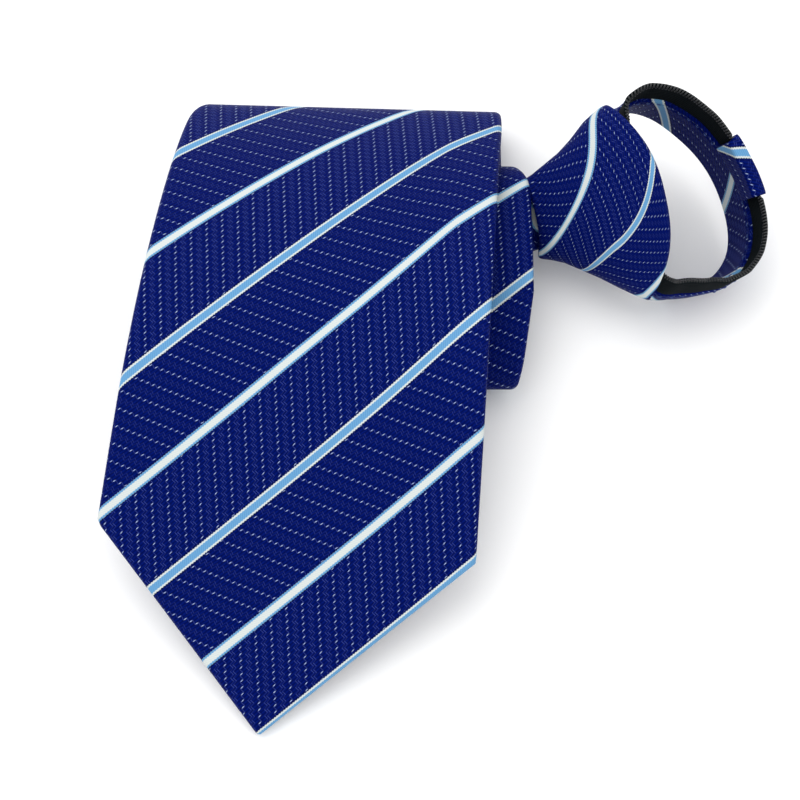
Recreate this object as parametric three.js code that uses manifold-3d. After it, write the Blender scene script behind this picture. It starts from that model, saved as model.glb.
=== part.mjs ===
// A ready-tied zipper tie, lying face up: the wide blade folded over its own roll, a fixed knot, and a small
// neck loop of fabric band and zipper. Millimetres, +Z up, the blade's point towards -Y, the neck loop at +X.
import * as THREE from "three";
import { mergeVertices } from "three/addons/utils/BufferGeometryUtils.js";
import Module from "manifold-3d";

// Driving dimensions
const CLEARANCE = 0.3; // between pieces that touch

// The blade, a padded silk strip
const BLADE_WIDTH = 80; // across the two corners above the point
const BLADE_THICKNESS = 2.6;
const POINT_LENGTH = 41; // from the point to the line of the corners
const POINT_SIDE = -1.4; // how far the point sits left of the strip's middle
const POINT_BLUNT = 1.2; // the point is cut round this far up
const PANEL_LENGTH = 145; // the ground that the folded blade covers, point to back fold
const ROLL_HEIGHT = 29; // the top of the hump over the roll
const ROLL_SKEW = 6.3; // degrees that the strip runs to the right of straight away

// The tail, from the roll to the inside of the knot
const TAIL_WIDTH = 42; // where it folds over inside the roll
const TAIL_START = 1.2; // it is gathered this far before the knot's narrow end
const TAIL_INSIDE = 9; // how far it reaches into the knot

// The knot, a hollow wrapped shell
const KNOT_WIDTH = 45; // across the wide end
const KNOT_DEPTH = 12;
const KNOT_WALL = 2;
const KNOT_FRONT = 31; // length down the middle of the front
const KNOT_SIDE = 18; // length down each side
const KNOT_CURL = 3.5; // the narrow end's sides and back reach this far past its front
const KNOT_BACK = 10.5; // length down the back
const KNOT_PLACE = new THREE.Vector3(61.8, 113, 15.5); // front of the narrow end, middle
const KNOT_HEADING = -5.8; // degrees, seen from above
const KNOT_RISE = 39.2; // degrees above level
const KNOT_ROLL = 28; // degrees about its own length

// The neck loop, a fabric band with half a zipper along its outer edge
const LOOP_DEPTH = 25; // from the knot to the back of the neck
const LOOP_WIDTH = 44;
const LOOP_FLARE = 5; // how far the zipper edge leans out past the fabric edge
const LOOP_BULGE = 2; // how far the middle of the band's width bows out
const LOOP_LEAN = 37.8; // degrees between the band's width and the knot's length
const LOOP_FORWARD = 23.2; // the zipper edge behind the knot's front, measured along the knot
const LOOP_BEHIND = 4; // and behind the knot's front surface
const BAND_WIDTH = 11.2;
const BAND_THICKNESS = 2;
const TAPE_WIDTH = 5.3;
const TAPE_THICKNESS = 1;
const TEETH_WIDTH = 1.5;
const TEETH_THICKNESS = 1.8;
const TOOTH_PITCH = 1;
const SLIDER_LENGTH = 9;
const SLIDER_THICKNESS = 3;
const KEEPER_LENGTH = 14.5;
const KEEPER_WALL = 1;
const KEEPER_PLACE = 0.475; // share of the way round the loop, from the knot's middle

// The blade seen from its side. away is a share of PANEL_LENGTH and height of ROLL_HEIGHT, for the middle
// of the strip's thickness. From the point up over the hump to the back fold, along the ground, round the
// front fold, back over as the layer that shows on the right, and under again.
const ROLL_ROWS = [
  { away: 0.0, height: 0.055 },
  { away: 0.15, height: 0.34 },
  { away: 0.3, height: 0.64 },
  { away: 0.415, height: 0.855 },
  { away: 0.5, height: 0.97 },
  { away: 0.6, height: 1.0 },
  { away: 0.7, height: 0.945 },
  { away: 0.79, height: 0.83 },
  { away: 0.87, height: 0.675 },
  { away: 0.938, height: 0.49 },
  { away: 0.982, height: 0.325 },
  { away: 0.993, height: 0.215 },
  { away: 0.98, height: 0.1 },
  { away: 0.945, height: 0.045 },
  { away: 0.9, height: 0.045 },
  { away: 0.75, height: 0.045 },
  { away: 0.62, height: 0.045 },
  { away: 0.58, height: 0.06 },
  { away: 0.548, height: 0.14 },
  { away: 0.538, height: 0.26 },
  { away: 0.552, height: 0.39 },
  { away: 0.6, height: 0.535 },
  { away: 0.67, height: 0.62 },
  { away: 0.755, height: 0.62 },
  { away: 0.828, height: 0.56 },
  { away: 0.872, height: 0.46 },
  { away: 0.885, height: 0.355 },
  { away: 0.875, height: 0.255 },
  { away: 0.84, height: 0.2 },
  { away: 0.78, height: 0.185 },
];

// The strip's width where it is unrolled: along is a share of the rolled length, width of BLADE_WIDTH.
const WIDTH_ROWS = [
  { along: 0.5, width: 0.87 },
  { along: 0.72, width: 0.7 },
  { along: 0.79, width: 0.735 },
  { along: 0.84, width: 0.745 },
  { along: 0.88, width: 0.71 },
  { along: 1.0, width: 0.6 },
];

// The tail's run from the roll to the knot, by the two ends of each cross section. x and y are in
// shares of the knot's place, z of its height; thick is a share of the way from blade to gathered throat.
const TAIL_ROWS = [
  { leftX: 0.16, leftY: 0.945, rightX: 0.86, rightY: 0.885, z: 0.345, thick: 0 },
  { leftX: 0.15, leftY: 0.93, rightX: 0.835, rightY: 0.765, z: 0.355, thick: 0 },
  { leftX: 0.135, leftY: 0.92, rightX: 0.84, rightY: 0.75, z: 0.48, thick: 0 },
  { leftX: 0.15, leftY: 0.93, rightX: 0.835, rightY: 0.765, z: 0.61, thick: 0 },
  { leftX: 0.3, leftY: 0.985, rightX: 0.82, rightY: 0.78, z: 0.65, thick: 0 },
  { leftX: 0.5, leftY: 1.03, rightX: 0.85, rightY: 0.8, z: 0.66, thick: 0.1 },
  { leftX: 0.7, leftY: 1.045, rightX: 0.89, rightY: 0.85, z: 0.65, thick: 0.3 },
  { leftX: 0.855, leftY: 1.075, rightX: 0.93, rightY: 0.93, z: 0.62, thick: 0.6 },
];

// The knot's outline: along is a share of KNOT_FRONT, width and its sideways shift of KNOT_WIDTH, depth of
// KNOT_DEPTH.
const KNOT_ROWS = [
  { along: -0.19, width: 0.42, shift: 0.03, depth: 0.8 },
  { along: 0, width: 0.5, shift: 0.03, depth: 0.83 },
  { along: 0.134, width: 0.595, shift: 0.02, depth: 0.86 },
  { along: 0.256, width: 0.7, shift: 0.018, depth: 0.92 },
  { along: 0.39, width: 0.833, shift: 0.018, depth: 0.97 },
  { along: 0.53, width: 0.942, shift: 0.008, depth: 1 },
  { along: 0.62, width: 0.98, shift: -0.005, depth: 1 },
  { along: 1, width: 1, shift: -0.03, depth: 1 },
];

// The neck loop seen along its hollow, from the middle of the knot round the back of the neck, for the
// fabric's edge: out is a share of LOOP_DEPTH, side of LOOP_WIDTH, flare of LOOP_FLARE, bulge of LOOP_BULGE.
const LOOP_ROWS = [
  { out: 0, side: -0.02, flare: 0, bulge: 0 },
  { out: 0, side: 0.2, flare: 0, bulge: 0 },
  { out: 0.01, side: 0.365, flare: 0, bulge: 0.4 },
  { out: 0.12, side: 0.452, flare: 0, bulge: 1 },
  { out: 0.3, side: 0.464, flare: 0.4, bulge: 0.85 },
  { out: 0.504, side: 0.414, flare: 0.65, bulge: 0.7 },
  { out: 0.708, side: 0.302, flare: 0.65, bulge: 0.4 },
  { out: 0.86, side: 0.182, flare: 0.52, bulge: 0.25 },
  { out: 0.955, side: 0.06, flare: 0.45, bulge: 0.2 },
  { out: 1.008, side: -0.09, flare: 0.4, bulge: 0.2 },
  { out: 1.008, side: -0.235, flare: 0.36, bulge: 0.2 },
  { out: 0.95, side: -0.345, flare: 0.3, bulge: 0.3 },
  { out: 0.83, side: -0.425, flare: 0.2, bulge: 0.5 },
  { out: 0.66, side: -0.475, flare: 0, bulge: 0.7 },
  { out: 0.46, side: -0.49, flare: -0.25, bulge: 0.85 },
  { out: 0.26, side: -0.48, flare: -0.35, bulge: 1 },
  { out: 0.1, side: -0.46, flare: -0.2, bulge: 1 },
  { out: 0.01, side: -0.375, flare: 0, bulge: 0.4 },
  { out: 0, side: -0.22, flare: 0, bulge: 0 },
];

// How finely curves are followed
const MOST_TURN = 11; // degrees between two cross sections of the blade
const MOST_STEP = 9; // mm between two cross sections of the blade
const FINE_STEPS = 900; // samples of the roll's curve
const LOOP_SECTIONS = 84;
const KNOT_SIDES = 40;
const KNOT_STEPS = 9;
const KNOT_SQUARENESS = 2.5; // 2 is an ellipse, more is boxier

// Colours, by material
const SILK = { color: 0x0b1f78, roughness: 0.45, metalness: 0 };
const TAPE = { color: 0x101114, roughness: 0.85, metalness: 0 };
const TEETH = { color: 0x1c1d20, roughness: 0.35, metalness: 0 };

const rad = THREE.MathUtils.degToRad;

// A value between the rows of a table, by straight lines
function between(rows, key, value, column) {
  const last = rows.length - 1;
  const found = rows.findIndex((row) => row[key] >= value);
  const i = found < 0 ? last : Math.max(found, 1);
  const span = rows[i][key] - rows[i - 1][key];
  const share = THREE.MathUtils.clamp((value - rows[i - 1][key]) / span, 0, 1);
  return THREE.MathUtils.lerp(rows[i - 1][column], rows[i][column], share);
}

// A closed body skinned over rings of points. A loop's last ring meets its first; other bodies are capped.
function skin(rings, loop) {
  const sides = rings[0].length;
  const points = rings.flat();
  const faces = [];
  const spans = loop ? rings.length : rings.length - 1;
  for (let i = 0; i < spans; i++) {
    const here = i * sides;
    const next = ((i + 1) % rings.length) * sides;
    for (let j = 0; j < sides; j++) {
      const k = (j + 1) % sides;
      faces.push([here + j, here + k, next + k]);
      faces.push([here + j, next + k, next + j]);
    }
  }
  if (!loop) {
    const lastRing = (rings.length - 1) * sides;
    const outlines = [rings[0], rings.at(-1)];
    const [startCap, endCap] = outlines.map(capOf);
    for (const [a, b, c] of startCap) faces.push([a, c, b]);
    for (const [a, b, c] of endCap) faces.push([lastRing + a, lastRing + b, lastRing + c]);
  }
  return facingOut(points, faces);
}

// A flat outline's triangles, cut in its own plane
function capOf(outline) {
  const origin = outline[0];
  const normal = new THREE.Vector3();
  outline.forEach((point, i) => {
    const next = outline[(i + 1) % outline.length];
    normal.add(point.clone().sub(origin).cross(next.clone().sub(origin)));
  });
  normal.normalize();
  const across = outline[1].clone().sub(origin).projectOnPlane(normal).normalize();
  const up = normal.clone().cross(across);
  const flat = outline.map((point) => {
    const from = point.clone().sub(origin);
    return new THREE.Vector2(from.dot(across), from.dot(up));
  });
  return THREE.ShapeUtils.triangulateShape(flat, []);
}

// The faces as a geometry, turned over if they enclose a negative volume
function facingOut(points, faces) {
  const volume = faces.reduce((sum, [a, b, c]) => {
    const cross = points[b].clone().cross(points[c]);
    return sum + points[a].dot(cross);
  }, 0);
  const index = faces.flatMap(([a, b, c]) => (volume < 0 ? [a, c, b] : [a, b, c]));
  const geometry = new THREE.BufferGeometry().setFromPoints(points);
  geometry.setIndex(index);
  return geometry;
}

// A cross section with softened edges, from its middle, half widths along two directions
function softBox(middle, across, up, width, thick) {
  const roundedShare = 0.3;
  const soft = Math.min(thick, width) * roundedShare;
  const corners = [
    [-width / 2, -thick / 2 + soft],
    [-width / 2 + soft, -thick / 2],
    [width / 2 - soft, -thick / 2],
    [width / 2, -thick / 2 + soft],
    [width / 2, thick / 2 - soft],
    [width / 2 - soft, thick / 2],
    [-width / 2 + soft, thick / 2],
    [-width / 2, thick / 2 - soft],
  ];
  return corners.map(([a, b]) => middle.clone().addScaledVector(across, a).addScaledVector(up, b));
}

// The roll's side view as a curve in the YZ plane that never dips into the ground
function rollPath() {
  const rows = ROLL_ROWS.map(
    (row) => new THREE.Vector3(0, row.away * PANEL_LENGTH, row.height * ROLL_HEIGHT),
  );
  const curve = new THREE.CatmullRomCurve3(rows, false, "centripetal");
  const points = curve.getPoints(FINE_STEPS);
  for (const point of points) point.z = Math.max(point.z, BLADE_THICKNESS / 2);
  let along = 0;
  return points.map((point, i) => {
    if (i > 0) along += point.distanceTo(points[i - 1]);
    const before = points[Math.max(i - 1, 0)];
    const after = points[Math.min(i + 1, points.length - 1)];
    const heading = Math.atan2(after.z - before.z, after.y - before.y);
    return { along, point, heading };
  });
}

// The strip's two edges, where it is laid flat and skewed: x across, along up the roll
function bladeEdges(length) {
  const skew = rad(ROLL_SKEW);
  const laid = (side, up) => ({
    x: side * Math.cos(skew) + up * Math.sin(skew) - POINT_SIDE,
    along: up * Math.cos(skew) - side * Math.sin(skew),
  });
  const pastEnd = 1.1; // the last width is kept this far, as a share of the strip
  const rows = [
    { along: POINT_LENGTH, half: BLADE_WIDTH / 2 },
    ...WIDTH_ROWS.map((row) => ({ along: row.along * length, half: (row.width * BLADE_WIDTH) / 2 })),
    { along: pastEnd * length, half: (WIDTH_ROWS.at(-1).width * BLADE_WIDTH) / 2 },
  ];
  const edge = (sign) => [
    laid(POINT_SIDE, 0),
    ...rows.map((row) => laid(sign * row.half, row.along)),
  ];
  return { left: edge(-1), right: edge(1) };
}

// The cross sections of the rolled strip: closer together where it bends
function bladeSections() {
  const path = rollPath();
  const length = path.at(-1).along;
  const { left, right } = bladeEdges(length);
  const corners = [left[1].along, right[1].along];
  const across = new THREE.Vector3(1, 0, 0);
  const sections = [];
  let last = null;
  for (const step of path) {
    if (step.along < POINT_BLUNT) continue;
    const turned = last ? Math.abs(THREE.MathUtils.radToDeg(step.heading - last.heading)) : 360;
    const bend = Math.min(turned, 360 - turned);
    const gone = last ? step.along - last.along : MOST_STEP;
    const corner = last && corners.some((c) => last.along < c && step.along >= c);
    if (last && bend < MOST_TURN && gone < MOST_STEP && !corner && step !== path.at(-1)) continue;
    const fromX = between(left, "along", step.along, "x");
    const toX = between(right, "along", step.along, "x");
    const middle = step.point.clone().setX((fromX + toX) / 2);
    const up = new THREE.Vector3(0, -Math.sin(step.heading), Math.cos(step.heading));
    sections.push(softBox(middle, across, up, toX - fromX, BLADE_THICKNESS));
    last = step;
  }
  return sections;
}

// The tail's cross sections, from inside the roll, over its own slanting fold and into the knot
function tailSections(knotFrame) {
  const place = KNOT_PLACE;
  const throatDepth = KNOT_ROWS[0].depth * KNOT_DEPTH - 2 * (KNOT_WALL + CLEARANCE);
  const ends = TAIL_ROWS.map((row) => ({
    left: new THREE.Vector3(row.leftX * place.x, row.leftY * place.y, row.z * place.z),
    right: new THREE.Vector3(row.rightX * place.x, row.rightY * place.y, row.z * place.z),
    thick: THREE.MathUtils.lerp(BLADE_THICKNESS, throatDepth, row.thick),
  }));
  const sections = ends.map((end, i) => {
    const before = ends[Math.max(i - 1, 0)];
    const after = ends[Math.min(i + 1, ends.length - 1)];
    const middle = end.left.clone().lerp(end.right, 0.5);
    const travel = after.left.clone().add(after.right).sub(before.left).sub(before.right);
    const width = end.left.distanceTo(end.right);
    const across = end.right.clone().sub(end.left).normalize();
    const up = across.clone().cross(travel).normalize();
    return softBox(middle, across, up, Math.min(width, TAIL_WIDTH), end.thick);
  });
  const places = [-KNOT_CURL - TAIL_START, TAIL_INSIDE / 2, TAIL_INSIDE];
  const throats = places.map((along) => throatRing(knotFrame, along));
  return [...sections, ...throats];
}

// The gathered tail fills the knot's narrow end, at any place along the knot, with clearance all round
function throatRing(knotFrame, along) {
  const eighth = Math.PI / 4;
  const angles = Array.from({ length: 8 }, (_, i) => -i * eighth - eighth / 2);
  return angles.map((angle) => {
    const point = knotPoint(angle, 0, KNOT_WALL + CLEARANCE).setX(along);
    return knotFrame.localToWorld(point);
  });
}

function blade(knotFrame) {
  return skin([...bladeSections(), ...tailSections(knotFrame)], false);
}

// One point of the knot's outer or inner surface, share of the way up from its narrow end. sunk is how far
// below the outer surface it lies. The wide end's rim stands proud at the front.
function knotPoint(angle, share, sunk) {
  const toFront = Math.sin(angle);
  const peak = 0.45; // share of the rim's rise that is kept for the very front
  const proud = (1 - peak) * toFront + peak * toFront * toFront;
  const front = KNOT_SIDE + (KNOT_FRONT - KNOT_SIDE) * proud;
  const back = KNOT_SIDE + (KNOT_SIDE - KNOT_BACK) * toFront;
  const end = toFront > 0 ? front : back;
  const start = -KNOT_CURL * (1 - Math.max(toFront, 0) ** 2);
  const along = THREE.MathUtils.lerp(start, end, share);
  const row = (column) => between(KNOT_ROWS, "along", along / KNOT_FRONT, column);
  const halfWidth = (row("width") * KNOT_WIDTH) / 2 - sunk;
  const depth = row("depth") * KNOT_DEPTH;
  const square = (value) => Math.sign(value) * Math.abs(value) ** (2 / KNOT_SQUARENESS);
  return new THREE.Vector3(
    along,
    halfWidth * square(Math.cos(angle)) + row("shift") * KNOT_WIDTH,
    (depth / 2 - sunk) * square(toFront) - depth / 2,
  );
}

// The knot's shell: up its outside, over the rim, down its inside
function knotShell() {
  const rings = [];
  for (let i = 0; i < KNOT_SIDES; i++) {
    const angle = (2 * Math.PI * i) / KNOT_SIDES;
    const shares = Array.from({ length: KNOT_STEPS + 1 }, (_, k) => k / KNOT_STEPS);
    const outside = shares.map((share) => knotPoint(angle, share, 0));
    const inside = shares.map((share) => knotPoint(angle, share, KNOT_WALL)).reverse();
    rings.push([...outside, ...inside]);
  }
  return skin(rings, true);
}

// The neck loop's closed curve and the width of everything that follows it
function makeLoop() {
  const rows = LOOP_ROWS.map((row) => new THREE.Vector3(row.out * LOOP_DEPTH, row.side * LOOP_WIDTH, 0));
  const curve = new THREE.CatmullRomCurve3(rows, true, "centripetal");
  curve.arcLengthDivisions = FINE_STEPS;
  const total = BAND_WIDTH + TAPE_WIDTH + TEETH_WIDTH + 2 * CLEARANCE;
  return { curve, length: curve.getLength(), total };
}

// The band's cross section at a share of the way round: a function from a place up its width and out from
// its middle surface to a point
function bandSection(loop, share) {
  const turn = ((share % 1) + 1) % 1;
  const point = loop.curve.getPointAt(turn);
  const along = loop.curve.getTangentAt(turn);
  const out = new THREE.Vector3(-along.y, along.x, 0);
  const place = loop.curve.getUtoTmapping(turn) * LOOP_ROWS.length;
  const here = LOOP_ROWS[Math.floor(place) % LOOP_ROWS.length];
  const next = LOOP_ROWS[(Math.floor(place) + 1) % LOOP_ROWS.length];
  const eased = THREE.MathUtils.smoothstep(place % 1, 0, 1);
  const flare = THREE.MathUtils.lerp(here.flare, next.flare, eased) * LOOP_FLARE;
  const bulge = THREE.MathUtils.lerp(here.bulge, next.bulge, eased) * LOOP_BULGE;
  const rise = new THREE.Vector3(0, 0, loop.total).addScaledVector(out, flare).normalize();
  const face = along.clone().cross(rise).negate();
  const base = point.setZ(-loop.total);
  return (up, outward) => {
    const height = up / loop.total;
    const bowed = outward + bulge * 4 * height * (1 - height);
    return base.clone().addScaledVector(rise, up).addScaledVector(face, bowed);
  };
}

// A strip along the neck loop between two shares. section gives the corners as [up the band, outward].
function loopStrip(loop, from, to, steps, section, closed) {
  const count = closed ? steps : steps + 1;
  const rings = Array.from({ length: count }, (_, i) => {
    const place = bandSection(loop, from + ((to - from) * i) / steps);
    return section(i).map(([up, out]) => place(up, out));
  });
  return skin(rings, closed);
}

const flat = (low, high, thick) => [
  [low, -thick / 2],
  [high, -thick / 2],
  [high, thick / 2],
  [low, thick / 2],
];

const TAPE_START = BAND_WIDTH + CLEARANCE;
const TEETH_START = TAPE_START + TAPE_WIDTH + CLEARANCE;
const TEETH_END = TEETH_START + TEETH_WIDTH;

function neckBand(loop) {
  const roundedShare = 0.25;
  const soft = BAND_THICKNESS * roundedShare;
  const half = BAND_THICKNESS / 2;
  const section = () => [
    [0, -half + soft],
    [soft, -half],
    [BAND_WIDTH / 2, -half],
    [BAND_WIDTH, -half],
    [BAND_WIDTH, half],
    [BAND_WIDTH / 2, half],
    [soft, half],
    [0, half - soft],
  ];
  return loopStrip(loop, 0, 1, LOOP_SECTIONS, section, true);
}

// One half of the zipper's tape runs from the slider to the back of the neck
function zipperTape(loop, from, to) {
  const steps = Math.round(LOOP_SECTIONS * Math.abs(to - from));
  const section = () => flat(TAPE_START, TAPE_START + TAPE_WIDTH, TAPE_THICKNESS);
  return loopStrip(loop, from, to, steps, section, false);
}

const VALLEY_SHARE = 0.6; // the coil's thickness between two teeth, as a share
const VALLEY_DEPTH = 0.3; // how far its edge draws back there

// The teeth stand in a row on the tape's edge, with a ridge for each tooth
function zipperTeeth(loop, from, to) {
  const teeth = Math.round((loop.length * Math.abs(to - from)) / TOOTH_PITCH);
  const valley = TEETH_THICKNESS * VALLEY_SHARE;
  const ridge = (i) => (i % 2 ? TEETH_THICKNESS : valley);
  const edge = (i) => (i % 2 ? TEETH_END : TEETH_END - VALLEY_DEPTH);
  const section = (i) => flat(TEETH_START, edge(i), ridge(i));
  return loopStrip(loop, from, to, 2 * teeth, section, false);
}

// A sleeve of the tie's own fabric, folded over the tape at the back of the neck, between the rows of teeth
function keeper(loop) {
  const share = KEEPER_LENGTH / loop.length / 2;
  const inner = TAPE_THICKNESS / 2 + CLEARANCE;
  const outer = inner + KEEPER_WALL;
  const top = TAPE_START + TAPE_WIDTH + CLEARANCE;
  const section = () => [
    [TAPE_START, -outer],
    [top + KEEPER_WALL, -outer],
    [top + KEEPER_WALL, outer],
    [TAPE_START, outer],
    [TAPE_START, inner],
    [top, inner],
    [top, -inner],
    [TAPE_START, -inner],
  ];
  return loopStrip(loop, KEEPER_PLACE - share, KEEPER_PLACE + share, 8, section, false);
}

// The slider, a plain block inside the knot, where the two halves of the zipper meet
function zipperSlider(loop) {
  const share = SLIDER_LENGTH / loop.length / 2;
  const section = () => flat(TAPE_START, TEETH_END, SLIDER_THICKNESS);
  return loopStrip(loop, -share, share, 2, section, false);
}

// The room that the band needs where it passes over the knot's rims
function bandRoom(loop) {
  const half = SLIDER_THICKNESS / 2 + CLEARANCE;
  const section = () => [
    [-CLEARANCE, -half],
    [loop.total / 2, -half],
    [loop.total + CLEARANCE, -half],
    [loop.total + CLEARANCE, half],
    [loop.total / 2, half],
    [-CLEARANCE, half],
  ];
  return loopStrip(loop, 0, 1, LOOP_SECTIONS, section, true);
}

// Cutting one body away from another
const wasm = await Module();
wasm.setup();

function solidOf(geometry, matrix) {
  const weld = 1e-4;
  const merged = mergeVertices(geometry.clone().applyMatrix4(matrix), weld);
  const vertProperties = new Float32Array(merged.attributes.position.array);
  const triVerts = new Uint32Array(merged.index.array);
  return new wasm.Manifold(new wasm.Mesh({ numProp: 3, vertProperties, triVerts }));
}

function geometryOf(solid) {
  const mesh = solid.getMesh();
  const geometry = new THREE.BufferGeometry();
  geometry.setAttribute("position", new THREE.BufferAttribute(mesh.vertProperties, 3));
  geometry.setIndex(new THREE.BufferAttribute(mesh.triVerts, 1));
  return geometry;
}

function mesh(name, geometry, colours) {
  geometry.computeVertexNormals();
  const made = new THREE.Mesh(geometry, new THREE.MeshStandardMaterial({ ...colours, flatShading: true }));
  made.name = name;
  return made;
}

// The knot's own axes: x along it from narrow end to wide, y across it, z out of its front
const tie = new THREE.Group();
const knotGroup = new THREE.Group();
knotGroup.position.copy(KNOT_PLACE);
knotGroup.rotation.set(rad(KNOT_ROLL), rad(-KNOT_RISE), rad(KNOT_HEADING), "ZYX");
tie.add(knotGroup);

// The loop's own axes inside the knot's: x out from the knot, y across it, z along the band's width
const loopGroup = new THREE.Group();
loopGroup.position.set(LOOP_FORWARD, 0, -LOOP_BEHIND);
loopGroup.rotation.y = Math.PI / 2 - rad(LOOP_LEAN);
knotGroup.add(loopGroup);
tie.updateMatrixWorld(true);

const loop = makeLoop();
const sliderShare = (SLIDER_LENGTH / 2 + CLEARANCE) / loop.length;
const backGap = CLEARANCE / 2 / loop.length;
const keeperShare = (KEEPER_LENGTH / 2 + CLEARANCE) / loop.length;
const halves = [
  { side: "right", slider: sliderShare, back: KEEPER_PLACE - backGap, teeth: KEEPER_PLACE - keeperShare },
  { side: "left", slider: 1 - sliderShare, back: KEEPER_PLACE + backGap, teeth: KEEPER_PLACE + keeperShare },
];

loopGroup.add(mesh("neck_band", neckBand(loop), SILK));
loopGroup.add(mesh("keeper", keeper(loop), SILK));
loopGroup.add(mesh("zipper_slider", zipperSlider(loop), TEETH));
for (const { side, slider, back, teeth } of halves) {
  loopGroup.add(mesh(`zipper_tape_${side}`, zipperTape(loop, slider, back), TAPE));
  loopGroup.add(mesh(`zipper_teeth_${side}`, zipperTeeth(loop, slider, teeth), TEETH));
}

// The loop's lowest point rests on the ground, which settles the knot's height
tie.updateMatrixWorld(true);
knotGroup.position.z -= new THREE.Box3().setFromObject(loopGroup, true).min.z;
tie.updateMatrixWorld(true);

const shell = solidOf(knotShell(), new THREE.Matrix4());
const knotSolid = shell.subtract(solidOf(bandRoom(loop), loopGroup.matrix));
knotGroup.add(mesh("knot", geometryOf(knotSolid), SILK));
tie.add(mesh("blade", blade(knotGroup), SILK));

// The whole stands with the middle of its footprint at the origin
tie.updateMatrixWorld(true);
const box = new THREE.Box3().setFromObject(tie, true);
const middle = box.getCenter(new THREE.Vector3());
tie.position.set(-middle.x, -middle.y, -box.min.z);

export default tie;
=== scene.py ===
"""A ready-tied zipper tie in striped silk, lying face up: folded blade, knot, neck loop and zipper."""

import math

import bpy
import numpy as np
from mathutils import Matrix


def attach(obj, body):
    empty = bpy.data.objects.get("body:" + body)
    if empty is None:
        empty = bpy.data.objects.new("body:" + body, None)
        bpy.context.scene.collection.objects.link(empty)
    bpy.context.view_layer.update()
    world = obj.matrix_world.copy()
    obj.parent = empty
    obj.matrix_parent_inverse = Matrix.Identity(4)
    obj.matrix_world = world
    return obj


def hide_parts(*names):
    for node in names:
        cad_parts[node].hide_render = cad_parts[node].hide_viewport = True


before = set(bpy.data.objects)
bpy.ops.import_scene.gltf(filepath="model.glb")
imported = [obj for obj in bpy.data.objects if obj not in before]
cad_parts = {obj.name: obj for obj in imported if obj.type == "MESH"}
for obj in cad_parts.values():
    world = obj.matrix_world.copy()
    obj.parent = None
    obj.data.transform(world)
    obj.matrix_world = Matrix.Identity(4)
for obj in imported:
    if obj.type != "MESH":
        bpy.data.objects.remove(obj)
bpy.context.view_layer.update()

MM = 0.001
TIE_SHIFT = np.array([-38.52, -73.111, 0.0])

# The blade, in mm: a padded silk strip, rolled as the rows say
BLADE_WIDTH = 80.0
BLADE_THICKNESS = 2.6
POINT_LENGTH = 41.0
POINT_SIDE = -1.4
POINT_BLUNT = 0.5
PANEL_LENGTH = 145.0
ROLL_HEIGHT = 29.0
ROLL_SKEW = math.radians(6.3)
EDGE_ROUND = 1.5
PAST_END = 1.1  # the last width is kept this far, as a share of the strip
ROLL_ROWS = [  # away as a share of the panel's length, height of the roll's
    (0.0, 0.055), (0.15, 0.34), (0.3, 0.64), (0.415, 0.855), (0.5, 0.97), (0.6, 1.0), (0.7, 0.945),
    (0.79, 0.83), (0.87, 0.675), (0.938, 0.49), (0.982, 0.325), (0.993, 0.215), (0.98, 0.1),
    (0.945, 0.045), (0.9, 0.045), (0.75, 0.045), (0.62, 0.045), (0.58, 0.06), (0.548, 0.14),
    (0.538, 0.26), (0.552, 0.39), (0.6, 0.535), (0.67, 0.62), (0.755, 0.62), (0.828, 0.56),
    (0.872, 0.46), (0.885, 0.355), (0.875, 0.255), (0.84, 0.2), (0.78, 0.185),
]
WIDTH_ROWS = [  # along the unrolled strip, and its width as a share of the blade's
    (0.5, 0.87), (0.72, 0.7), (0.79, 0.735), (0.84, 0.745), (0.88, 0.71), (1.0, 0.6),
]
TAIL_WIDTH = 42.0
TAIL_START = 1.2
TAIL_INSIDE = 9.0
TAIL_SLACK = 9.0
TAIL_ROWS = [  # left x and y, right x and y, height, thickening, in shares of the knot's place
    (0.16, 0.945, 0.86, 0.885, 0.345, 0), (0.15, 0.93, 0.835, 0.765, 0.355, 0),
    (0.135, 0.92, 0.84, 0.75, 0.48, 0), (0.15, 0.93, 0.835, 0.765, 0.61, 0),
    (0.3, 0.985, 0.82, 0.78, 0.65, 0), (0.5, 1.03, 0.85, 0.8, 0.66, 0.1),
    (0.7, 1.04, 0.88, 0.87, 0.65, 0.3), (0.845, 1.055, 0.91, 0.95, 0.62, 0.6),
]

# The knot, in mm, in its own axes: x along it, y across, z out of its front
KNOT_WIDTH = 45.0
KNOT_DEPTH = 12.0
KNOT_WALL = 2.0
KNOT_FRONT = 31.0
KNOT_SIDE = 18.0
KNOT_CURL = 3.5
KNOT_NECK = 3.3  # the silk reaches this far past the narrow end, over the gathered tail
KNOT_BACK = 10.5
KNOT_SQUARENESS = 2.5  # 2 is an ellipse, more is boxier
RIM_PEAK = 0.45  # share of the rim's rise that is kept for the very front
KNOT_DESIGN = np.array([61.8, 113.0, 15.5])  # the tail's rows are shares of this place
KNOT_AT = np.array([61.8, 113.0, 15.52])  # the front of the knot's narrow end, its middle
KNOT_TURNS = [math.radians(-5.8), math.radians(-39.2), math.radians(28.0)]
KNOT_ROWS = [  # along as a share of the front, width and shift of the width, depth of the depth
    (-0.25, 0.38, 0.03, 0.79), (-0.107, 0.44, 0.03, 0.81), (0, 0.5, 0.03, 0.83),
    (0.134, 0.595, 0.02, 0.86), (0.256, 0.7, 0.018, 0.92),
    (0.39, 0.833, 0.018, 0.97), (0.53, 0.942, 0.008, 1), (0.62, 0.98, -0.005, 1), (1, 1, -0.03, 1),
]

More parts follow.
